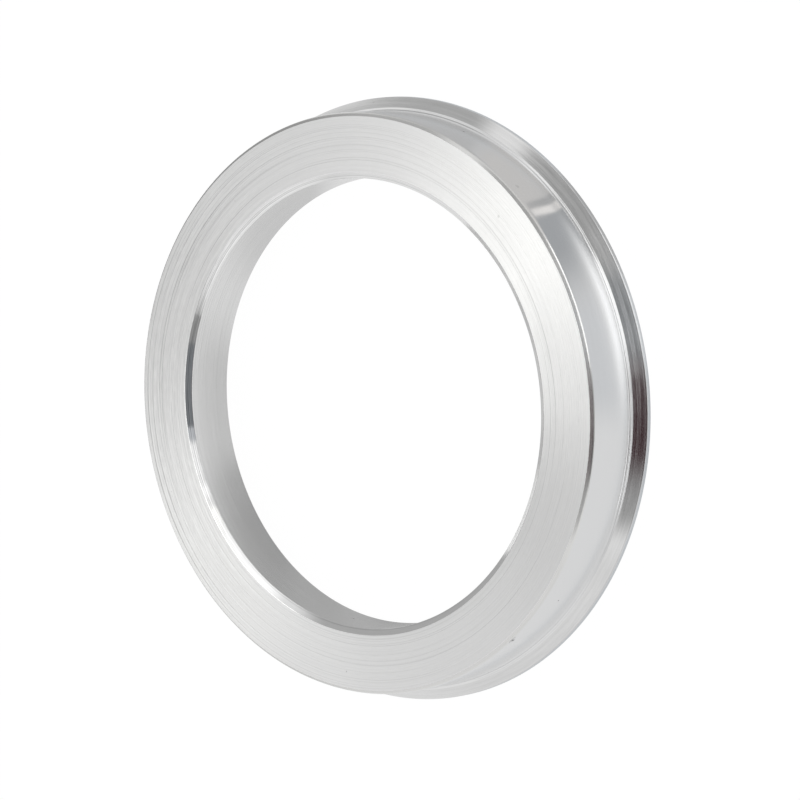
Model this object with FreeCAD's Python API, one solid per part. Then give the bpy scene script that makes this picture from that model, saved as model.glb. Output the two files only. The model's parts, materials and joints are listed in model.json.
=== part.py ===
"""Flanged hub centric ring for a car wheel, turned from solid aluminium.

The ring fills the gap between a wheel's centre bore and the boss of the hub, so
that the wheel runs true. It is one turned piece: a plain spigot that fits the
wheel's centre bore, a thin flange that stops against the back of the wheel and
tapers outwards to its rim, and a bore that slides over the boss.

Frame: the axis is Z and the ring lies flat on the rear face of its flange, with
the origin on the axis in that face. The front face, which goes into the wheel
first, looks up. All sizes are in millimetres.
"""

import FreeCAD, Part
import math
import os

# What the ring fits into, and what it fits over
spigot_diameter = 73.1
bore_diameter = 56.6

# Flange, whose front tapers at 45 degrees towards the rim
flange_diameter = 76.4
flange_thickness = 2.0
flange_taper = 1.3

# Spigot, from the front face of the flange to the front face of the ring
spigot_length = 7.6

# Front edge of the spigot: a 45 degree lead-in whose outer corner is eased
lead_in_chamfer = 0.48
lead_in_ease_radius = 0.7

# Corner between spigot and flange, as the nose of the turning tool leaves it
corner_fillet_radius = 0.15

# Rear edge of the rim
rim_rear_break = 0.1

# Edges of the bore: wide and flat in front, deep behind to clear the root of the boss
bore_front_chamfer_width = 0.8
bore_front_chamfer_depth = 0.48
bore_rear_chamfer = 2.3

FULL_TURN = 360.0
AXIS_POINT = FreeCAD.Vector(0, 0, 0)
AXIS_DIRECTION = FreeCAD.Vector(0, 0, 1)
SHARP = 0.0


def section_corners():
    """Return the corners of the half section in order, each with its rounding radius."""
    spigot_radius = spigot_diameter / 2
    flange_radius = flange_diameter / 2
    bore_radius = bore_diameter / 2
    ring_depth = flange_thickness + spigot_length

    rear_face = [
        (bore_radius + bore_rear_chamfer, 0, SHARP),
        (flange_radius - rim_rear_break, 0, SHARP),
    ]
    rim = [
        (flange_radius, rim_rear_break, SHARP),
        (flange_radius, flange_thickness - flange_taper, SHARP),
        (flange_radius - flange_taper, flange_thickness, SHARP),
    ]
    spigot = [
        (spigot_radius, flange_thickness, corner_fillet_radius),
        (spigot_radius, ring_depth - lead_in_chamfer, lead_in_ease_radius),
        (spigot_radius - lead_in_chamfer, ring_depth, SHARP),
    ]
    bore = [
        (bore_radius + bore_front_chamfer_width, ring_depth, SHARP),
        (bore_radius, ring_depth - bore_front_chamfer_depth, SHARP),
        (bore_radius, bore_rear_chamfer, SHARP),
    ]
    return rear_face + rim + spigot + bore


def rounded_corner(before, corner, after, radius):
    """Return the points where a corner's arc starts, is half way, and ends."""
    if radius == SHARP:
        return [corner]
    towards_before = (before - corner).normalize()
    towards_after = (after - corner).normalize()
    half_angle = towards_before.getAngle(towards_after) / 2
    inwards = (towards_before + towards_after).normalize()
    setback = radius / math.tan(half_angle)
    nearest = radius / math.sin(half_angle) - radius
    return [corner + towards_before * setback, corner + inwards * nearest, corner + towards_after * setback]


def section_face():
    """Return the half section as a face in the XZ plane."""
    corners = section_corners()
    points = [FreeCAD.Vector(radius, 0, height) for radius, height, _ in corners]
    stretches = []
    for index, (_, _, rounding) in enumerate(corners):
        before = points[index - 1]
        after = points[(index + 1) % len(points)]
        stretches.append(rounded_corner(before, points[index], after, rounding))

    edges = []
    for index, stretch in enumerate(stretches):
        if len(stretch) == 3:
            edges.append(Part.Arc(*stretch).toShape())
        following = stretches[(index + 1) % len(stretches)]
        edges.append(Part.LineSegment(stretch[-1], following[0]).toShape())
    return Part.Face(Part.Wire(edges))


def hub_centric_ring():
    """Return the ring as one solid, turned about the axis from its half section."""
    return section_face().revolve(AXIS_POINT, AXIS_DIRECTION, FULL_TURN)


def main():
    """Build the ring, write its file and print its size."""
    os.makedirs("parts", exist_ok=True)
    ring = hub_centric_ring()
    ring.exportStep("parts/hub_centric_ring.step")
    box = ring.optimalBoundingBox()
    print("hub_centric_ring:", ring.ShapeType, "valid" if ring.isValid() else "not valid")
    print(f"size {box.XLength:.3f} x {box.YLength:.3f} x {box.ZLength:.3f} mm")
    print(f"volume {ring.Volume:.1f} mm3, area {ring.Area:.1f} mm2")


main()
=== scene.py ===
"""Looks of a hub centric ring, turned from bare aluminium.

The ring is one lathe part: a spigot for the wheel's centre bore, a thin tapered flange
behind it and a bore that slides over the boss of the hub. It lies on the rear face of
its flange, with its axis up the Z axis and the front face uppermost.

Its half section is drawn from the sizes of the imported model, spun round the axis, and
dressed with one finish for each cut that the lathe made: the faced front, the bright
spigot wall, the coarser taper, the bore and the chamfers.
"""

import json
import logging
import math
from dataclasses import dataclass, field
from enum import Enum

import bmesh
import bpy
from mathutils import Matrix, Quaternion, Vector


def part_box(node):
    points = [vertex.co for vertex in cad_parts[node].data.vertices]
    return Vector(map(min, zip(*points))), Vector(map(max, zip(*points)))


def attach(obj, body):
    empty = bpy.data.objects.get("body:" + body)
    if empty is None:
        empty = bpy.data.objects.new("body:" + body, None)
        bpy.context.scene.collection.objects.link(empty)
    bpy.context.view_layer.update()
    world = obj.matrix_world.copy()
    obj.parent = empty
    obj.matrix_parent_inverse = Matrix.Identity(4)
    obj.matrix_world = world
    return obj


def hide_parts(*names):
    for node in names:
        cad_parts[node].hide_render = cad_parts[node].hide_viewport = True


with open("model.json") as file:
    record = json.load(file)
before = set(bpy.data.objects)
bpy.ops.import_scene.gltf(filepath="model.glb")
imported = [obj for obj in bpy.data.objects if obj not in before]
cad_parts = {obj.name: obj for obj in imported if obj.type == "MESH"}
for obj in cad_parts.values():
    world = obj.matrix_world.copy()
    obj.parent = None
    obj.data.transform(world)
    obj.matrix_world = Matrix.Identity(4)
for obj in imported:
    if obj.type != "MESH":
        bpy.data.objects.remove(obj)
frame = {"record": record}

MM = 0.001
MM_PER_M = 1000.0
CAD_NODE = "hub_centric_ring"
BODY = "root"

# Bare metal as it is, and the same metal with a painted tint of warmer light and of cooler light
METAL = (0.870, 0.870, 0.868)
WARM_LIT_METAL = (0.872, 0.870, 0.860)
COOL_LIT_METAL = (0.866, 0.870, 0.876)

# A Noise Texture runs from 0 to 1 about this value
NOISE_MIDDLE = 0.5
HALF_TURN = 180.0

# Sockets of a Mix node that a vector uses: its factor, the two vectors, and the result
VECTOR_MIX_INPUTS = (0, 4, 5)
VECTOR_MIX_OUTPUT = 1

# Edges of patches that reach as far as they can
ALL_ROUND = 720.0
LOWEST = -99.0
HIGHEST = 99.0
FARTHEST = 9999.0

# A distance from the axis at which the ring hides the floor, in mm
UNDER_RING = 33.0

# Ease and steps of a corner that isn't rounded off
SHARP = (0.0, 0)

# What a step along or across a slope of 45 degrees is in radius, and in height
DIAGONAL = math.sqrt(0.5)

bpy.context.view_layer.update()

log = logging.getLogger("hub_centric_ring")


class Zone(Enum):
    """The cut surfaces of the ring, each with its own finish and material slot."""

    REAR_FACE = "rear_face"
    RIM = "rim"
    TAPER = "taper"
    SEAT = "seat"
    SPIGOT_WALL = "spigot_wall"
    LEAD_IN = "lead_in"
    FRONT_FACE = "front_face"
    BORE_LIP = "bore_lip"
    BORE_WALL = "bore_wall"
    BORE_RELIEF = "bore_relief"


@dataclass(frozen=True)
class Corner:
    """One corner of the half section, and the cut that leads away from it.

    Attributes:
        radius: Distance from the axis in mm.
        height: Height over the rear face in mm.
        ease: How far along both sides the corner is rounded off, in mm.
        steps: Number of flats that make up the rounding.
        zone: The surface from this corner to the next.
    """

    radius: float
    height: float
    ease: float
    steps: int
    zone: Zone


@dataclass(frozen=True)
class Groove:
    """A line that the tool cut deeper than the rest, all the way round.

    Attributes:
        radius: Distance of its middle from the axis in mm.
        width: Width across its two flanks in mm.
        depth: Depth in mm.
    """

    radius: float
    width: float
    depth: float

    def profile(self) -> tuple[tuple[float, float], ...]:
        """Return its three corners, each as the way outwards from its middle and the depth."""
        half = self.width / 2
        return (half, 0.0), (0.0, self.depth), (-half, 0.0)


@dataclass(frozen=True)
class Nick:
    """A small dent in an edge.

    Attributes:
        place: Its middle in mm.
        reach: How far it spreads along the edge in mm, for each push.
        push: How far the metal is pushed in, in mm, for each reach.
    """

    place: tuple[float, float, float]
    reach: tuple[float, ...]
    push: tuple[float, ...]


@dataclass(frozen=True)
class Speck:
    """A tiny spot of dirt or a pore.

    Attributes:
        place: Its middle in mm.
        radius: Radius in mm.
        shade: How dark it is, from 0 to 1.
    """

    place: tuple[float, float, float]
    radius: float
    shade: float = 1.0


@dataclass(frozen=True)
class RingSizes:
    """Driving sizes of the ring in mm.

    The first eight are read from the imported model. The others are too fine to be
    stated there, so they have values of their own. All but the last two are cuts
    of the part's own source.
    """

    bore_radius: float
    spigot_radius: float
    flange_radius: float
    depth: float
    flange_thickness: float
    taper: float
    bore_relief: float
    bore_lip_depth: float
    bore_lip_width: float = 0.8
    lead_in: float = 0.48
    lead_in_ease: float = 0.29
    rim_rear_break: float = 0.1
    corner_fillet: float = 0.12
    edge_break: float = 0.04

    @classmethod
    def from_frame(cls) -> "RingSizes":
        """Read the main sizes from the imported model's box and mounts.

        Returns:
            The sizes of the ring in mm.
        """
        low, high = (Vector(corner) * MM_PER_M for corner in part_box(CAD_NODE))
        mounts = {mount["name"]: mount for mount in frame["record"]["mounts"]}
        bore = mounts["hub_bore"]
        bore_middle = bore["pos_m"][2] * MM_PER_M
        half_bore = bore["dims"]["length_mm"] / 2
        taper = mounts["taper_seat"]
        half_taper = taper["dims"]["length_mm"] / 2
        return cls(
            bore_radius=bore["dims"]["r_mm"],
            spigot_radius=mounts["wheel_spigot"]["dims"]["r_mm"],
            flange_radius=(high.x - low.x) / 2,
            depth=high.z - low.z,
            flange_thickness=taper["pos_m"][2] * MM_PER_M + half_taper,
            taper=half_taper * 2,
            bore_relief=bore_middle - half_bore,
            bore_lip_depth=high.z - low.z - bore_middle - half_bore,
        )


class NodeSheet:
    """A node tree with short ways to add nodes to it."""

    def __init__(self, tree: bpy.types.NodeTree) -> None:
        """Take hold of the tree."""
        self.tree = tree

    def feed(self, socket: bpy.types.NodeSocket, value: object) -> None:
        """Give a socket its value.

        Args:
            socket: The input to feed.
            value: A socket to link to it, or a plain number or triple to set there.
        """
        if isinstance(value, bpy.types.NodeSocket):
            self.tree.links.new(value, socket)
        else:
            socket.default_value = value

    def maths(self, operation: str, *values: object) -> bpy.types.NodeSocket:
        """Add a Math node.

        Args:
            operation: Name of the operation.
            values: What it works on, as sockets or plain numbers.

        Returns:
            Its output.
        """
        node = self.tree.nodes.new("ShaderNodeMath")
        node.operation = operation
        for socket, value in zip(node.inputs, values):
            self.feed(socket, value)
        return node.outputs[0]

    def ramp(
        self, value: object, low: object, high: object, start: float, end: float
    ) -> bpy.types.NodeSocket:
        """Add a Map Range node with a smooth step.

        Args:
            value: The value to map.
            low: Where the step begins.
            high: Where the step ends.
            start: What comes out up to low.
            end: What comes out from high on.

        Returns:
            Its output.
        """
        node = self.tree.nodes.new("ShaderNodeMapRange")
        node.interpolation_type = "SMOOTHSTEP"
        for socket, given in zip(node.inputs, (value, low, high, start, end)):
            self.feed(socket, given)
        return node.outputs[0]

    def noise(self, vector: object, scale: float, detail: float) -> bpy.types.NodeSocket:
        """Add a Noise Texture node.

        Args:
            vector: The place to read it at.
            scale: How closely its features lie.
            detail: How many finer octaves it has.

        Returns:
            Its value less its middle, from -0.5 to 0.5.
        """
        node = self.tree.nodes.new("ShaderNodeTexNoise")
        node.inputs["Scale"].default_value = scale
        node.inputs["Detail"].default_value = detail
        self.feed(node.inputs["Vector"], vector)
        return self.maths("SUBTRACT", node.outputs[0], NOISE_MIDDLE)

    def triple(self, x: object, y: object, z: object) -> bpy.types.NodeSocket:
        """Add a Combine XYZ node.

        Args:
            x: Its first part, as a socket or a plain number.
            y: Its second part.
            z: Its third part.

        Returns:
            Its vector.
        """
        node = self.tree.nodes.new("ShaderNodeCombineXYZ")
        for socket, value in zip(node.inputs, (x, y, z)):
            self.feed(socket, value)
        return node.outputs[0]

    def split(self, vector: object) -> list[bpy.types.NodeSocket]:
        """Add a Separate XYZ node.

        Args:
            vector: The vector to take apart.

        Returns:
            Its three outputs.
        """
        node = self.tree.nodes.new("ShaderNodeSeparateXYZ")
        self.feed(node.inputs[0], vector)
        return list(node.outputs)

    def blend(
        self, share: object, first: bpy.types.NodeSocket, second: bpy.types.NodeSocket
    ) -> bpy.types.NodeSocket:
        """Add a Mix Shader node.

        Args:
            share: How much of the second shader comes through.
            first: Output of the first shader.
            second: Output of the second shader.

        Returns:
            Its output.
        """
        node = self.tree.nodes.new("ShaderNodeMixShader")
        for socket, value in zip(node.inputs, (share, first, second)):
            self.feed(socket, value)
        return node.outputs[0]

    def weigh(self, x: object, y: object, x_share: object, y_share: object) -> bpy.types.NodeSocket:
        """Return the sum of x and y, each times its share."""
        return self.maths("ADD", self.maths("MULTIPLY", x, x_share), self.maths("MULTIPLY", y, y_share))

    def distance(self, x: object, y: object) -> bpy.types.NodeSocket:
        """Return the distance from the axis of a place at x and y."""
        return self.maths("SQRT", self.weigh(x, y, x, y))

    def bearing(self, x: object, y: object) -> bpy.types.NodeSocket:
        """Return the bearing of a place at x and y in degrees, anticlockwise from +X."""
        return self.maths("DEGREES", self.maths("ARCTAN2", y, x))


@dataclass(frozen=True)
class Lines:
    """One of the sets of lines round the axis that make up the turning marks.

    Attributes:
        finer: Factor on how closely they lie.
        shorter: Factor on how often they change round the axis.
        detail: How many finer octaves they have.
    """

    finer: float
    shorter: float
    detail: float


@dataclass(frozen=True)
class TurningMarks:
    """The marks that a turning tool leaves, as a node group for all the finishes.

    Attributes:
        rings: Long lines, most of what is seen.
        streaks: Shorter lines between them.
        grain: The torn look of the metal along them.
        scores: Sparse lines, of which only the highest parts are drawn, dark.
        ring_share: How much the rings count.
        short_share: How much the streaks and the grain count.
        score_share: How much the scores count.
        score_step: Where the drawn part of the scores begins, and where it is full.
        cloud_scale: How closely the soft clouds in the roughness lie, for each metre.
        cloud_detail: How many finer octaves the clouds have.
        climb: How many times height counts beside radius, so that walls get lines too.
        strong_sides: Two sides of the ring, as x and y, where the marks are drawn stronger in colour and
            in height.
        side_step: Where the stronger marks begin and are full, as a share of the way there.
        side_strength: Strength of the marks elsewhere, and where they are strongest.
    """

    rings: Lines = Lines(1.0, 1.0, 3.0)
    streaks: Lines = Lines(0.8, 24.0, 2.0)
    grain: Lines = Lines(1.6, 150.0, 1.0)
    scores: Lines = Lines(1.2, 3.0, 0.0)
    ring_share: float = 1.4
    short_share: float = 0.7
    score_share: float = 0.7
    score_step: tuple[float, float] = (0.17, 0.25)
    cloud_scale: float = 90.0
    cloud_detail: float = 2.0
    climb: float = 1.7
    strong_sides: tuple[tuple[float, float], ...] = ((0.230, 0.973), (0.108, -0.635))
    side_step: tuple[float, float] = (0.35, 1.0)
    side_strength: tuple[float, float] = (0.9, 2.7)

    def build(self) -> bpy.types.NodeTree:
        """Build the node group.

        Its Tone is a factor near 1 for the colour, with long light and dark lines round
        the axis. Its Height is the section of the marks.

        Returns:
            The node group.
        """
        group = bpy.data.node_groups.new("turning_marks", "ShaderNodeTree")
        for name in ("Pitch", "Arc", "Roughness", "Streak", "Contrast"):
            group.interface.new_socket(name, in_out="INPUT", socket_type="NodeSocketFloat")
        for name in ("Height", "Roughness", "Tone"):
            group.interface.new_socket(name, in_out="OUTPUT", socket_type="NodeSocketFloat")
        sheet = NodeSheet(group)
        given = group.nodes.new("NodeGroupInput").outputs
        results = group.nodes.new("NodeGroupOutput").inputs
        place = group.nodes.new("ShaderNodeTexCoord").outputs["Object"]
        x, y, z = sheet.split(place)
        radius = sheet.distance(x, y)
        across = sheet.maths("MULTIPLY", sheet.weigh(radius, z, 1.0, self.climb), MM_PER_M)
        steps = sheet.maths("DIVIDE", across, given["Pitch"])
        circle = (sheet.maths("DIVIDE", way, radius) for way in (x, y))
        along = [sheet.maths("MULTIPLY", way, given["Arc"]) for way in circle]
        sets = (self.rings, self.streaks, self.grain, self.scores)
        rings, streaks, grain, scores = (self.draw(sheet, lines, steps, along) for lines in sets)
        short = sheet.weigh(streaks, grain, self.short_share, self.short_share)
        both = sheet.weigh(rings, short, self.ring_share, 1.0)
        cuts = sheet.ramp(scores, *self.score_step, 0.0, self.score_share)
        back, front = (sheet.weigh(x, y, *side) for side in self.strong_sides)
        side = sheet.maths("DIVIDE", sheet.maths("MAXIMUM", back, front), radius)
        strength = sheet.ramp(side, *self.side_step, *self.side_strength)
        drawn = sheet.maths("MULTIPLY", sheet.maths("SUBTRACT", both, cuts), strength)
        cloud = sheet.noise(place, self.cloud_scale, self.cloud_detail)
        swing = sheet.maths("MULTIPLY", sheet.maths("ADD", both, cloud), given["Streak"])
        tone = sheet.maths("ADD", 1.0, sheet.maths("MULTIPLY", drawn, given["Contrast"]))
        sheet.feed(results["Tone"], tone)
        sheet.feed(results["Roughness"], sheet.maths("ADD", given["Roughness"], swing))
        sheet.feed(results["Height"], drawn)
        return group

    @staticmethod
    def draw(
        sheet: NodeSheet, lines: Lines, steps: bpy.types.NodeSocket, along: list[bpy.types.NodeSocket]
    ) -> bpy.types.NodeSocket:
        """Add one set of lines round the axis.

        Args:
            sheet: The node tree to build in.
            lines: The set.
            steps: How many pitches a place lies across the marks.
            along: Where a place lies round the axis, as x and y of a circle.

        Returns:
            The lines from -0.5 to 0.5.
        """
        places = [sheet.maths("MULTIPLY", steps, lines.finer)]
        places += [sheet.maths("MULTIPLY", way, lines.shorter) for way in along]
        return sheet.noise(sheet.triple(*places), 1.0, lines.detail)


@dataclass(frozen=True)
class Dirt:
    """The specks on the ring, as a node group for all the finishes.

    Attributes:
        specks: All of them.
        core: Share of a speck's radius that is as dark as it gets.
        edge: Share of its radius where it has faded away.
    """

    specks: tuple[Speck, ...] = (
        Speck((-26.77, -24.88, 6.03), 0.11),
        Speck((20.70, -25.55, 9.60), 0.18, 0.25),
        Speck((31.96, -17.74, 4.54), 0.16),
        Speck((24.07, -27.50, 7.67), 0.30, 0.2),
        Speck((-31.06, -19.25, 8.74), 0.24, 1.0),
        Speck((37.63, -1.32, 1.24), 0.12, 0.4),
        Speck((-33.24, 7.29, 9.60), 0.10, 0.5),
        Speck((27.60, 16.40, 9.60), 0.08, 0.35),
        Speck((-8.30, 33.20, 9.60), 0.09, 0.35),
        Speck((-26.90, 8.79, 5.20), 0.12),
    )
    core: float = 0.5
    edge: float = 1.3

    def build(self) -> bpy.types.NodeTree:
        """Build the node group.

        Returns:
            The node group, whose Speck goes up to 1 inside a speck and is 0 elsewhere.
        """
        group = bpy.data.node_groups.new("specks", "ShaderNodeTree")
        group.interface.new_socket("Speck", in_out="OUTPUT", socket_type="NodeSocketFloat")
        sheet = NodeSheet(group)
        place = group.nodes.new("ShaderNodeTexCoord").outputs["Object"]
        mask = 0.0
        for speck in self.specks:
            away = group.nodes.new("ShaderNodeVectorMath")
            away.operation = "DISTANCE"
            sheet.feed(away.inputs[0], place)
            sheet.feed(away.inputs[1], Vector(speck.place) * MM)
            size = speck.radius * MM
            spot = sheet.ramp(away.outputs["Value"], self.core * size, self.edge * size, speck.shade, 0.0)
            mask = sheet.maths("MAXIMUM", mask, spot)
        sheet.feed(group.nodes.new("NodeGroupOutput").inputs["Speck"], mask)
        return group


@dataclass(frozen=True)
class TurnedFinish:
    """The finish that one cut of the lathe leaves on bare aluminium.

    Attributes:
        name: Name of the material.
        roughness: Mean roughness.
        anisotropy: How much the marks stretch the gloss across them.
        pitch: Spacing of the marks in mm.
        depth: Height of the marks in mm.
        streak: How much the marks change the roughness.
        contrast: How much the marks change the colour.
        arc: How often the marks change round the axis; low is long.
        colour: Base colour of the metal.
        gloss_turn: Share of a turn by which the gloss is stretched away from the marks.
        speck_dark: How much a speck darkens the metal.
        speck_rough: How much rougher a speck is.
    """

    name: str
    roughness: float
    anisotropy: float
    pitch: float
    depth: float
    streak: float
    contrast: float
    arc: float
    colour: tuple[float, float, float]
    gloss_turn: float = 0.25
    speck_dark: float = 0.55
    speck_rough: float = 0.3

    def material(self, marks: bpy.types.NodeTree, dirt: bpy.types.NodeTree) -> bpy.types.Material:
        """Build the material of this finish.

        Args:
            marks: The node group of turning marks.
            dirt: The node group of specks.

        Returns:
            The finished material.
        """
        material = bpy.data.materials.new(self.name)
        material.use_nodes = True
        sheet = NodeSheet(material.node_tree)
        nodes = material.node_tree.nodes
        shader = nodes["Principled BSDF"]
        shader.inputs["Metallic"].default_value = 1.0
        shader.inputs["Anisotropic"].default_value = self.anisotropy
        shader.inputs["Anisotropic Rotation"].default_value = self.gloss_turn
        tangent = nodes.new("ShaderNodeTangent")
        tangent.direction_type = "RADIAL"
        tangent.axis = "Z"
        sheet.feed(shader.inputs["Tangent"], tangent.outputs["Tangent"])
        group = nodes.new("ShaderNodeGroup")
        group.node_tree = marks
        group.inputs["Pitch"].default_value = self.pitch
        group.inputs["Arc"].default_value = self.arc
        group.inputs["Roughness"].default_value = self.roughness
        group.inputs["Streak"].default_value = self.streak
        group.inputs["Contrast"].default_value = self.contrast
        spots = nodes.new("ShaderNodeGroup")
        spots.node_tree = dirt
        speck = spots.outputs["Speck"]
        shade = sheet.maths("SUBTRACT", 1.0, sheet.maths("MULTIPLY", speck, self.speck_dark))
        tint = nodes.new("ShaderNodeVectorMath")
        tint.operation = "SCALE"
        tint.inputs[0].default_value = self.colour
        sheet.feed(tint.inputs["Scale"], sheet.maths("MULTIPLY", group.outputs["Tone"], shade))
        sheet.feed(shader.inputs["Base Color"], tint.outputs[0])
        rough = sheet.weigh(group.outputs["Roughness"], speck, 1.0, self.speck_rough)
        sheet.feed(shader.inputs["Roughness"], rough)
        bump = nodes.new("ShaderNodeBump")
        bump.inputs["Strength"].default_value = 1.0
        bump.inputs["Distance"].default_value = self.depth * MM
        sheet.feed(bump.inputs["Height"], group.outputs["Height"])
        sheet.feed(shader.inputs["Normal"], bump.outputs["Normal"])
        return material


@dataclass
class TurnedRing:
    """The ring itself: its section, its mesh and its finishes.

    Attributes:
        sizes: Its driving sizes.
        name: Name of its object.
        spin_steps: Number of flats round the axis.
        support: How far from a corner the points that keep a stretch flat lie, in mm.
        weld: Distance within which points become one, in mm.
        edge_steps: Number of flats that break an edge.
        round_steps: Number of flats in the two larger roundings.
        smooth_angle: Largest angle in degrees between flats that are shaded as one.
        place_digits: Decimals of a mm that tell apart where faces lie in the section.
        face_grooves: The deeper lines in the front face.
        taper_grooves: The deeper lines in the taper.
        nicks: The dents in its edges.
        finishes: The finish of each surface.
    """

    sizes: RingSizes
    name: str = "turned_ring"
    spin_steps: int = 360
    support: float = 0.02
    weld: float = 0.002
    edge_steps: int = 2
    round_steps: int = 6
    smooth_angle: float = 14.0
    place_digits: int = 3
    face_grooves: tuple[Groove, ...] = (
        Groove(34.70, 0.16, 0.005),
        Groove(34.36, 0.20, 0.007),
        Groove(33.55, 0.18, 0.006),
        Groove(33.32, 0.14, 0.005),
        Groove(32.90, 0.20, 0.007),
        Groove(32.10, 0.22, 0.005),
        Groove(31.34, 0.30, 0.006),
        Groove(30.38, 0.20, 0.005),
    )
    taper_grooves: tuple[Groove, ...] = (
        Groove(37.86, 0.08, 0.0015),
        Groove(37.58, 0.08, 0.0025),
        Groove(37.29, 0.10, 0.006),
        Groove(37.05, 0.08, 0.003),
    )
    nicks: tuple[Nick, ...] = (
        Nick((-31.0, -19.0, 8.95), (0.5, 0.3), (0.05, 0.1)),
        Nick((-7.56, 28.05, 9.55), (0.4,), (0.05,)),
    )
    finishes: dict[Zone, TurnedFinish] = field(default_factory=lambda: {
        # The rim and the spigot wall carry a painted tint of cooler light, the lead-in one of warmer light
        Zone.REAR_FACE: TurnedFinish("faced_rear", 0.38, 0.85, 0.15, 0.007, 0.10, 0.14, 0.15, METAL),
        Zone.RIM: TurnedFinish("turned_rim", 0.25, 0.8, 0.12, 0.002, 0.08, 0.04, 0.5, COOL_LIT_METAL),
        Zone.TAPER: TurnedFinish("turned_taper", 0.15, 0.8, 0.2, 0.002, 0.08, 0.16, 0.08, METAL),
        Zone.SEAT: TurnedFinish("turned_seat", 0.05, 0.3, 0.2, 0.0002, 0.04, 0.02, 0.5, METAL),
        Zone.SPIGOT_WALL: TurnedFinish("bright_spigot", 0.15, 0.8, 0.4, 3e-5, 0.04, 0.01, 0.5, COOL_LIT_METAL),
        Zone.LEAD_IN: TurnedFinish("bright_lead_in", 0.23, 0.7, 0.2, 0.0001, 0.04, 0.02, 0.5, WARM_LIT_METAL),
        Zone.FRONT_FACE: TurnedFinish("faced_front", 0.38, 0.85, 0.15, 0.007, 0.10, 0.14, 0.15, METAL),
        Zone.BORE_LIP: TurnedFinish("bright_bore_lip", 0.06, 0.4, 0.18, 0.0001, 0.03, 0.22, 0.15, METAL),
        Zone.BORE_WALL: TurnedFinish("turned_bore", 0.24, 0.8, 0.3, 3e-5, 0.05, 0.035, 0.3, METAL),
        Zone.BORE_RELIEF: TurnedFinish("turned_relief", 0.28, 0.8, 0.2, 0.001, 0.08, 0.06, 0.5, METAL),
    })

    def section(self) -> list[Corner]:
        """Work out the corners of the half section, from the bore round to the bore again.

        Returns:
            The corners in order, each with the zone that leads to the next.
        """
        sizes = self.sizes
        broken = (sizes.edge_break, self.edge_steps)
        fillet = (sizes.corner_fillet, self.round_steps)
        eased = (sizes.lead_in_ease, self.round_steps)
        return [
            Corner(sizes.bore_radius + sizes.bore_relief, 0, *broken, Zone.REAR_FACE),
            Corner(sizes.flange_radius - sizes.rim_rear_break, 0, *SHARP, Zone.RIM),
            Corner(sizes.flange_radius, sizes.rim_rear_break, *SHARP, Zone.RIM),
            Corner(sizes.flange_radius, sizes.flange_thickness - sizes.taper, *broken, Zone.TAPER),
            *self.taper_groove_corners(),
            Corner(sizes.flange_radius - sizes.taper, sizes.flange_thickness, *broken, Zone.SEAT),
            Corner(sizes.spigot_radius, sizes.flange_thickness, *fillet, Zone.SPIGOT_WALL),
            Corner(sizes.spigot_radius, sizes.depth - sizes.lead_in, *eased, Zone.LEAD_IN),
            Corner(sizes.spigot_radius - sizes.lead_in, sizes.depth, *broken, Zone.FRONT_FACE),
            *self.face_groove_corners(),
            Corner(sizes.bore_radius + sizes.bore_lip_width, sizes.depth, *broken, Zone.BORE_LIP),
            Corner(sizes.bore_radius, sizes.depth - sizes.bore_lip_depth, *broken, Zone.BORE_WALL),
            Corner(sizes.bore_radius, sizes.bore_relief, *broken, Zone.BORE_RELIEF),
        ]

    def face_groove_corners(self) -> list[Corner]:
        """Work out the corners of the grooves in the front face.

        Returns:
            The corners in order, from the rim inwards.
        """
        corners = []
        for groove in self.face_grooves:
            for outwards, depth in groove.profile():
                radius = groove.radius + outwards
                corners.append(Corner(radius, self.sizes.depth - depth, *SHARP, Zone.FRONT_FACE))
        return corners

    def taper_groove_corners(self) -> list[Corner]:
        """Work out the corners of the grooves in the taper.

        Returns:
            The corners in order, from the rim inwards.
        """
        top = self.sizes.flange_thickness + self.sizes.flange_radius - self.sizes.taper
        corners = []
        for groove in self.taper_grooves:
            for outwards, depth in groove.profile():
                radius = groove.radius + (outwards - depth) * DIAGONAL
                height = top - groove.radius - (outwards + depth) * DIAGONAL
                corners.append(Corner(radius, height, *SHARP, Zone.TAPER))
        return corners

    def build(self) -> bpy.types.Object:
        """Draw the half section, round its corners, spin it into the ring and dent it.

        Returns:
            The ring with its finishes on.
        """
        section = self.section()
        places = [Vector((corner.radius, 0, corner.height)) * MM for corner in section]
        outline = self.outline(section, places)
        bpy.ops.object.select_all(action="DESELECT")
        bpy.ops.mesh.primitive_plane_add(size=MM, location=(0, 0, 0))
        ring = bpy.context.active_object
        ring.name = ring.data.name = self.name
        bpy.ops.object.mode_set(mode="EDIT")
        bpy.ops.mesh.select_all(action="SELECT")
        bpy.ops.mesh.merge(type="CENTER")
        bpy.ops.transform.translate(value=outline[0])
        for here, there in zip(outline, outline[1:] + outline[:1]):
            bpy.ops.mesh.extrude_vertices_move(TRANSFORM_OT_translate={"value": there - here})
        bpy.ops.mesh.select_all(action="SELECT")
        bpy.ops.mesh.remove_doubles(threshold=self.weld * MM)
        for corner, place in zip(section, places):
            if corner.ease:
                self.select_near(ring, place, 0.0)
                bpy.ops.mesh.bevel(
                    affect="VERTICES", offset=corner.ease * MM, segments=corner.steps, clamp_overlap=False
                )
        bpy.ops.mesh.select_all(action="SELECT")
        bpy.ops.mesh.spin(steps=self.spin_steps, angle=math.tau, center=(0, 0, 0), axis=(0, 0, 1))
        bpy.ops.mesh.select_all(action="SELECT")
        bpy.ops.mesh.remove_doubles(threshold=self.weld * MM)
        bpy.ops.mesh.normals_make_consistent(inside=False)
        for nick in self.nicks:
            self.dent(ring, nick)
        bpy.ops.object.mode_set(mode="OBJECT")
        self.dress(ring)
        bpy.ops.object.shade_smooth_by_angle(angle=math.radians(self.smooth_angle))
        return ring

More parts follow.
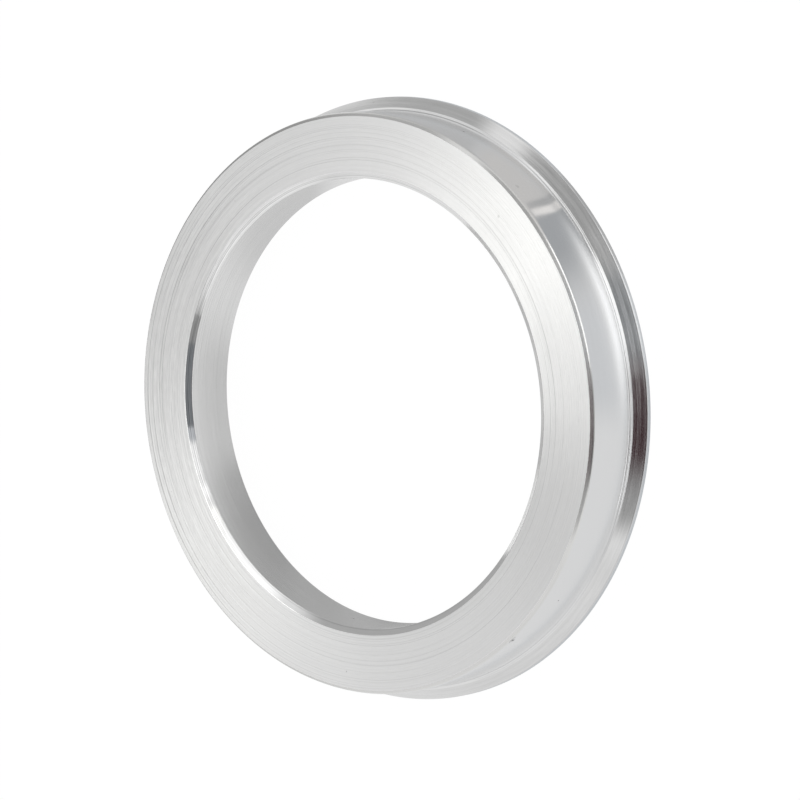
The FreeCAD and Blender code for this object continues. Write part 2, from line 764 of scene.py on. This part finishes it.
    def outline(self, section: list[Corner], places: list[Vector]) -> list[Vector]:
        """Add two points to each long stretch, close to its ends, which keep its shading flat.

        Args:
            section: The corners of the half section.
            places: Their places in metres.

        Returns:
            The corners' places with the added points between them.
        """
        points = []
        following = list(zip(section[1:] + section[:1], places[1:] + places[:1]))
        for corner, here, (other, there) in zip(section, places, following):
            points.append(here)
            along = there - here
            near, far = (end.ease + self.support for end in (corner, other))
            if along.length > (near + far + self.support) * MM:
                points.append(here + along.normalized() * near * MM)
                points.append(there - along.normalized() * far * MM)
        return points

    @staticmethod
    def select_near(ring: bpy.types.Object, place: Vector, reach: float) -> None:
        """Select the vertices within reach of a place, or only the nearest one if none is.

        Args:
            ring: The ring's object, in edit mode.
            place: The place in metres.
            reach: The reach in metres.
        """
        bpy.ops.mesh.select_all(action="DESELECT")
        mesh = bmesh.from_edit_mesh(ring.data)
        nearest = min((vertex.co - place).length for vertex in mesh.verts)
        for vertex in mesh.verts:
            vertex.select = (vertex.co - place).length <= max(reach, nearest)
        bmesh.update_edit_mesh(ring.data)

    def dent(self, ring: bpy.types.Object, nick: Nick) -> None:
        """Push the metal in at a nick, towards the middle of the section.

        Args:
            ring: The ring's object, in edit mode.
            nick: The nick.
        """
        place = Vector(nick.place)
        middle = Vector((place.x, place.y, 0)).normalized()
        middle *= (self.sizes.bore_radius + self.sizes.spigot_radius) / 2
        middle.z = self.sizes.depth / 2
        towards = middle - place
        for reach, push in zip(nick.reach, nick.push):
            self.select_near(ring, place * MM, reach * MM)
            bpy.ops.transform.translate(value=towards.normalized() * push * MM)

    def dress(self, ring: bpy.types.Object) -> None:
        """Give each surface the finish of its zone.

        Args:
            ring: The ring's object.
        """
        marks, dirt = TurningMarks().build(), Dirt().build()
        zones = list(self.finishes)
        for zone in zones:
            ring.data.materials.append(self.finishes[zone].material(marks, dirt))
        section = self.section()
        ends = [Vector((corner.radius, corner.height)) for corner in section]
        stretches = list(zip(section, ends, ends[1:] + ends[:1]))
        known: dict[tuple[float, float], int] = {}
        for face in ring.data.polygons:
            centre = face.center * MM_PER_M
            section_place = (math.hypot(centre.x, centre.y), centre.z)
            here = tuple(round(size, self.place_digits) for size in section_place)
            if here not in known:
                point = Vector(here)
                nearest = min(stretches, key=lambda stretch: distance_to_stretch(point, *stretch[1:]))
                known[here] = zones.index(nearest[0].zone)
            face.material_index = known[here]


def distance_to_stretch(point: Vector, start: Vector, end: Vector) -> float:
    """Return how far a point of the section lies from a straight stretch of it.

    Args:
        point: The point as radius and height.
        start: Where the stretch starts.
        end: Where the stretch ends.

    Returns:
        The distance in the units of the points.
    """
    along = end - start
    share = max(0.0, min(1.0, (point - start).dot(along) / along.length_squared))
    return (point - start - along * share).length


@dataclass(frozen=True)
class PhotoCamera:
    """The camera, where the photograph's own stood in relation to the ring.

    Attributes:
        elevation: Angle over the floor in degrees.
        roll: Turn about the line of sight in degrees, clockwise.
        distance: Distance to the aim point in mm.
        aim: Point in the middle of the picture in mm.
        lens: Focal length in mm on a sensor of sensor_width.
        sensor_width: Width of the sensor in mm.
        clip: Distance in mm from which on it sees.
    """

    elevation: float = 50.606
    roll: float = 96.866
    distance: float = 614.7
    aim: tuple[float, float, float] = (-0.066, -6.668, 9.6)
    lens: float = 222.566
    sensor_width: float = 36.0
    clip: float = 10.0

    def build(self) -> bpy.types.Object:
        """Place the camera and make it the scene's.

        Returns:
            The camera's object.
        """
        data = bpy.data.cameras.new("photo_camera")
        data.lens = self.lens
        data.sensor_width = self.sensor_width
        data.clip_start = self.clip * MM
        camera = bpy.data.objects.new("photo_camera", data)
        bpy.context.scene.collection.objects.link(camera)
        tilt = math.radians(self.elevation)
        towards_camera = Vector((0, -math.cos(tilt), math.sin(tilt)))
        camera.location = (Vector(self.aim) + towards_camera * self.distance) * MM
        camera.rotation_mode = "QUATERNION"
        upright = towards_camera.to_track_quat("Z", "Y")
        camera.rotation_quaternion = upright @ Quaternion((0, 0, 1), -math.radians(self.roll))
        bpy.context.scene.camera = camera
        return camera


@dataclass(frozen=True)
class SoftBox:
    """A flat rectangular lamp that faces the ring.

    Attributes:
        name: Name of the lamp.
        bearing: Direction in the floor plane in degrees, anticlockwise from +X.
        elevation: Angle over the floor in degrees.
        distance: Distance from the origin in mm.
        width: Width in mm.
        height: Height in mm.
        glow: Radiance, where 1 is as bright as white.
        colour: Colour of the light.
    """

    name: str
    bearing: float
    elevation: float
    distance: float
    width: float
    height: float
    glow: float
    colour: tuple[float, float, float] = (1.0, 1.0, 1.0)

    def build(self) -> bpy.types.Object:
        """Hang the lamp.

        Returns:
            The lamp's object.
        """
        data = bpy.data.lights.new(self.name, "AREA")
        data.shape = "RECTANGLE"
        data.size = self.width * MM
        data.size_y = self.height * MM
        data.energy = self.glow * math.pi * data.size * data.size_y
        data.color = self.colour
        lamp = bpy.data.objects.new(self.name, data)
        bpy.context.scene.collection.objects.link(lamp)
        lamp.visible_camera = False
        turn, tilt = math.radians(self.bearing), math.radians(self.elevation)
        level = math.cos(tilt)
        outwards = Vector((math.cos(turn) * level, math.sin(turn) * level, math.sin(tilt)))
        lamp.location = outwards * self.distance * MM
        lamp.rotation_mode = "QUATERNION"
        lamp.rotation_quaternion = outwards.to_track_quat("Z", "Y")
        return lamp


@dataclass(frozen=True)
class Patch:
    """A stretch of the light tent's cloth, or of the floor, that gives light.

    Attributes:
        bearing: Direction of its middle in degrees, anticlockwise from +X.
        width: Width in degrees.
        low: Lower edge as an elevation in degrees, or the near edge on the floor in mm.
        high: Upper edge as an elevation in degrees, or the far edge on the floor in mm.
        glow: Radiance, where 1 is as bright as white.
        soft: Width of its soft sides in degrees.
        fade: Width of its soft lower and upper edges in degrees or mm.
        colour: Colour of the light.
        slant: Degrees by which its middle turns for each step from its lower edge.
    """

    bearing: float
    width: float
    low: float
    high: float
    glow: float
    soft: float = 8.0
    fade: float = 8.0
    colour: tuple[float, float, float] = (1.0, 1.0, 1.0)
    slant: float = 0.0

    def paint(
        self, sheet: NodeSheet, bearing: object, level: object, before: object
    ) -> bpy.types.NodeSocket:
        """Lay this patch over what is there before.

        Args:
            sheet: The node tree to build in.
            bearing: Socket with the bearing in degrees.
            level: Socket with the elevation in degrees or the distance in mm.
            before: Socket with the light so far.

        Returns:
            Socket with the light and this patch over it.
        """
        lean = sheet.maths("MULTIPLY", sheet.maths("SUBTRACT", level, self.low), self.slant)
        middle = sheet.maths("ADD", lean, self.bearing)
        turned = sheet.maths("WRAP", sheet.maths("SUBTRACT", bearing, middle), HALF_TURN, -HALF_TURN)
        half, soft, fade = self.width / 2, self.soft / 2, self.fade / 2
        across = sheet.ramp(sheet.maths("ABSOLUTE", turned), half - soft, half + soft, 1.0, 0.0)
        above = sheet.ramp(level, self.low - fade, self.low + fade, 0.0, 1.0)
        below = sheet.ramp(level, self.high - fade, self.high + fade, 1.0, 0.0)
        mix = sheet.tree.nodes.new("ShaderNodeMix")
        mix.data_type = "VECTOR"
        share, start, end = (mix.inputs[number] for number in VECTOR_MIX_INPUTS)
        sheet.feed(share, sheet.maths("MULTIPLY", across, sheet.maths("MULTIPLY", above, below)))
        sheet.feed(start, before)
        sheet.feed(end, Vector(self.colour) * self.glow)
        return mix.outputs[VECTOR_MIX_OUTPUT]


@dataclass(frozen=True)
class Tent:
    """A light tent round the ring, open towards the camera, on a pale floor.

    The camera stands at a bearing of -90 degrees. Each patch lies over those before it.

    Attributes:
        cloth: The light of the cloth, by elevation.
        shine: The painted light and shade of the floor by distance, which only polished metal shows.
        lamps: The soft boxes.
        floor_colour: Colour of the floor where the ring's shadow is seen on it.
        floor_side: Length of its sides in mm.
        floor_gap: How far it lies under the ring in mm.
        floor_white: Share of plain white in what the camera sees of it.
        floor_lift: Brightness of that white.
    """

    cloth: tuple[Patch, ...] = (
        # The cloth as a whole, and its lower parts away from the camera
        Patch(0.0, ALL_ROUND, LOWEST, HIGHEST, 0.81),
        Patch(172.0, 76.0, -30.0, 34.0, 0.70, 12.0),
        Patch(160.0, 70.0, 26.0, 58.0, 0.85, 14.0),
        Patch(50.0, 90.0, -30.0, 40.0, 0.42),
        Patch(-25.3, 40.0, -30.0, 20.0, 0.75),
        # The roof
        Patch(4.7, 80.0, 60.0, 80.0, 1.23, colour=(1.0, 1.0, 0.98)),
        Patch(64.7, 40.0, 60.0, 80.0, 0.3, colour=(1.0, 1.0, 0.97)),
        Patch(114.7, 60.0, 60.0, 80.0, 0.69),
        Patch(174.7, 60.0, 60.0, 80.0, 0.36),
        Patch(0.0, ALL_ROUND, 80.0, HIGHEST, 0.85),
        Patch(-55.3, 40.0, 60.0, 80.0, 0.9, 4.0),
        # The dark opening, and what stands in it
        Patch(-25.0, 34.0, 20.0, 56.0, 0.3),
        Patch(-60.0, 60.0, 20.0, 46.0, 0.24, 10.0, 6.0, (0.96, 1.0, 1.04)),
        Patch(-40.0, 32.0, 20.0, 46.0, 0.35, 14.0, 6.0),
        Patch(-128.0, 30.0, 20.0, 46.0, 0.30, 12.0, 6.0),
        Patch(-106.0, 38.0, 20.0, 46.0, 0.02, 16.0, 6.0, (2.2, 1.0, 1.2)),
        # Bright cloth above the opening
        Patch(-72.0, 58.0, 47.0, 66.0, 1.45, 10.0, 4.0),
        Patch(-119.0, 58.0, 47.0, 58.0, 1.2, 12.0, 3.0),
        Patch(-14.0, 34.0, 53.0, 61.0, 1.15, 12.0, 4.0),
        Patch(0.0, 20.0, 45.0, 56.0, 1.15, 10.0, 4.0),
        # Darker cloth with sharp edges above that
        Patch(-122.2, 69.8, 57.4, 80.0, 0.19, 1.2, 0.6, (0.95, 1.0, 1.06)),
        Patch(-150.0, 14.2, 57.4, 80.0, 0.29, 1.2, 0.6),
        Patch(-83.0, 10.0, 57.4, 80.0, 0.5, 5.0, 0.6, (0.97, 1.0, 1.05)),
        # What lies low in front of the tent
        Patch(-135.3, 20.0, -30.0, 20.0, 0.8),
        Patch(-115.3, 20.0, -30.0, 20.0, 0.08),
        Patch(-95.3, 20.0, -30.0, 20.0, 0.3),
        Patch(-65.3, 40.0, -30.0, 20.0, 0.5),
    )
    shine: tuple[Patch, ...] = (
        # The floor as a whole, and its far side
        Patch(0.0, ALL_ROUND, LOWEST, FARTHEST, 0.76),
        Patch(115.0, 60.0, 44.0, FARTHEST, 0.60, 16.0, 3.0),
        Patch(55.0, 72.0, 44.0, FARTHEST, 0.30, 16.0, 3.0),
        # The floor towards the camera
        Patch(-85.3, 26.0, UNDER_RING, FARTHEST, 0.65, 12.0, 1.0, (0.985, 1.0, 1.02)),
        Patch(-52.3, 34.0, UNDER_RING, FARTHEST, 0.40, 20.0, 1.0, (0.975, 1.0, 1.03)),
        Patch(-40.3, 20.0, UNDER_RING, FARTHEST, 0.58, 6.0, 1.0, (1.02, 1.0, 0.98)),
        Patch(-12.8, 35.0, UNDER_RING, FARTHEST, 0.50, 8.0, 1.0),
        # Two slanting streaks of painted reflection, a dimmer one and a brighter, warmer one
        Patch(-50.5, 2.0, 38.5, 42.2, 0.42, 1.0, 1.0, slant=0.7),
        Patch(-52.2, 2.0, 39.0, 42.4, 0.85, 0.9, 1.0, (1.03, 1.0, 0.97), 0.7),
        # The wedge of light at the foot of the spigot wall
        Patch(-79.3, 30.0, UNDER_RING, 40.0, 0.76, 22.0, 1.6, (1.0, 1.0, 0.99)),
        Patch(-77.8, 31.0, UNDER_RING, 39.35, 1.6, 23.0, 1.0),
        # The shade close round the flange
        Patch(0.0, ALL_ROUND, UNDER_RING, 38.82, 0.60, 8.0, 0.1, (0.97, 1.0, 1.03)),
        Patch(-100.3, 22.0, UNDER_RING, 38.82, 0.54, 10.0, 0.1, (0.96, 1.0, 1.04)),
        Patch(-60.3, 24.0, UNDER_RING, 38.82, 0.43, 10.0, 0.1),
        # The floor inside the bore
        Patch(0.0, ALL_ROUND, LOWEST, UNDER_RING, 0.74, 8.0, 1.0),
        Patch(34.7, 36.0, LOWEST, UNDER_RING, 0.65, 16.0, 1.0),
        Patch(5.0, 30.0, LOWEST, UNDER_RING, 0.80, 12.0, 1.0),
        Patch(86.0, 30.0, LOWEST, UNDER_RING, 0.59, 16.0, 1.0),
        Patch(139.7, 82.0, LOWEST, UNDER_RING, 0.42, 12.0, 1.0),
        Patch(119.7, 22.0, LOWEST, UNDER_RING, 0.36, 12.0, 1.0),
        Patch(154.7, 12.0, LOWEST, UNDER_RING, 0.46, 10.0, 1.0),
        Patch(0.0, ALL_ROUND, LOWEST, 18.0, 1.1, 8.0, 3.0),
    )
    lamps: tuple[SoftBox, ...] = (
        SoftBox("low_strip", -65.3, 10.0, 1200.0, 870.0, 420.0, 1.2),
        SoftBox("high_box", 64.7, 70.0, 175.0, 75.0, 75.0, 1.32, (1.0, 1.0, 0.97)),
    )
    floor_colour: tuple[float, float, float, float] = (0.8, 0.8, 0.8, 1.0)
    floor_side: float = 4000.0
    floor_gap: float = 0.02
    floor_white: float = 0.95
    floor_lift: float = 1.03

    def build_floor(self) -> bpy.types.Object:
        """Lay the floor, which the camera sees as white but for the ring's shadow.

        Returns:
            The floor's object.
        """
        bpy.ops.object.select_all(action="DESELECT")
        bpy.ops.mesh.primitive_plane_add(size=self.floor_side * MM, location=(0, 0, 0))
        floor = bpy.context.active_object
        floor.name = floor.data.name = "studio_floor"
        floor.data.transform(Matrix.Translation((0, 0, -self.floor_gap * MM)))
        floor.data.materials.append(self.floor_material())
        return floor

    def floor_material(self) -> bpy.types.Material:
        """Build the floor's material, which the camera and polished metal see in two ways.

        Returns:
            The finished material.
        """
        material = bpy.data.materials.new("pale_floor")
        material.use_nodes = True
        sheet = NodeSheet(material.node_tree)
        nodes = material.node_tree.nodes
        nodes.clear()
        x, y, _ = sheet.split(nodes.new("ShaderNodeTexCoord").outputs["Object"])
        bearing = sheet.bearing(x, y)
        away = sheet.maths("MULTIPLY", sheet.distance(x, y), MM_PER_M)
        light = sheet.triple(0.0, 0.0, 0.0)
        for patch in self.shine:
            light = patch.paint(sheet, bearing, away, light)
        path = nodes.new("ShaderNodeLightPath")
        matt = nodes.new("ShaderNodeBsdfDiffuse")
        matt.inputs["Color"].default_value = self.floor_colour
        lift = nodes.new("ShaderNodeEmission")
        lift.inputs["Strength"].default_value = self.floor_lift
        white = sheet.maths("MULTIPLY", path.outputs["Is Camera Ray"], self.floor_white)
        seen = sheet.blend(white, matt.outputs[0], lift.outputs[0])
        glow = nodes.new("ShaderNodeEmission")
        sheet.feed(glow.inputs["Color"], light)
        mirrored = sheet.blend(path.outputs["Is Glossy Ray"], seen, glow.outputs[0])
        sheet.feed(nodes.new("ShaderNodeOutputMaterial").inputs["Surface"], mirrored)
        return material

    def build_cloth(self) -> None:
        """Light the scene from the tent's cloth, with white behind the ring for the camera."""
        world = bpy.data.worlds.new("light_tent")
        bpy.context.scene.world = world
        world.use_nodes = True
        sheet = NodeSheet(world.node_tree)
        nodes = world.node_tree.nodes
        x, y, z = sheet.split(nodes.new("ShaderNodeTexCoord").outputs["Generated"])
        bearing = sheet.bearing(x, y)
        elevation = sheet.maths("DEGREES", sheet.maths("ARCSINE", z))
        light = sheet.triple(0.0, 0.0, 0.0)
        for patch in self.cloth:
            light = patch.paint(sheet, bearing, elevation, light)
        background = nodes["Background"]
        sheet.feed(background.inputs["Color"], light)
        white = nodes.new("ShaderNodeBackground")
        seen = nodes.new("ShaderNodeLightPath").outputs["Is Camera Ray"]
        both = sheet.blend(seen, background.outputs[0], white.outputs[0])
        sheet.feed(nodes["World Output"].inputs["Surface"], both)

    def build(self) -> None:
        """Build the floor, the cloth and the lamps."""
        self.build_floor()
        self.build_cloth()
        for lamp in self.lamps:
            lamp.build()


def main() -> None:
    """Build the ring, the studio and the camera."""
    logging.basicConfig(level=logging.INFO, format="%(name)s: %(message)s")
    bpy.context.scene.view_settings.view_transform = "Standard"
    PhotoCamera().build()
    sizes = RingSizes.from_frame()
    log.info("sizes %s", sizes)
    ring = TurnedRing(sizes).build()
    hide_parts(CAD_NODE)
    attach(ring, BODY)
    log.info("%s: %d faces", ring.name, len(ring.data.polygons))
    tent = Tent()
    tent.build()
    log.info("tent: %d patches of cloth, %d lamps", len(tent.cloth), len(tent.lamps))


if __name__ == "__main__":
    main()
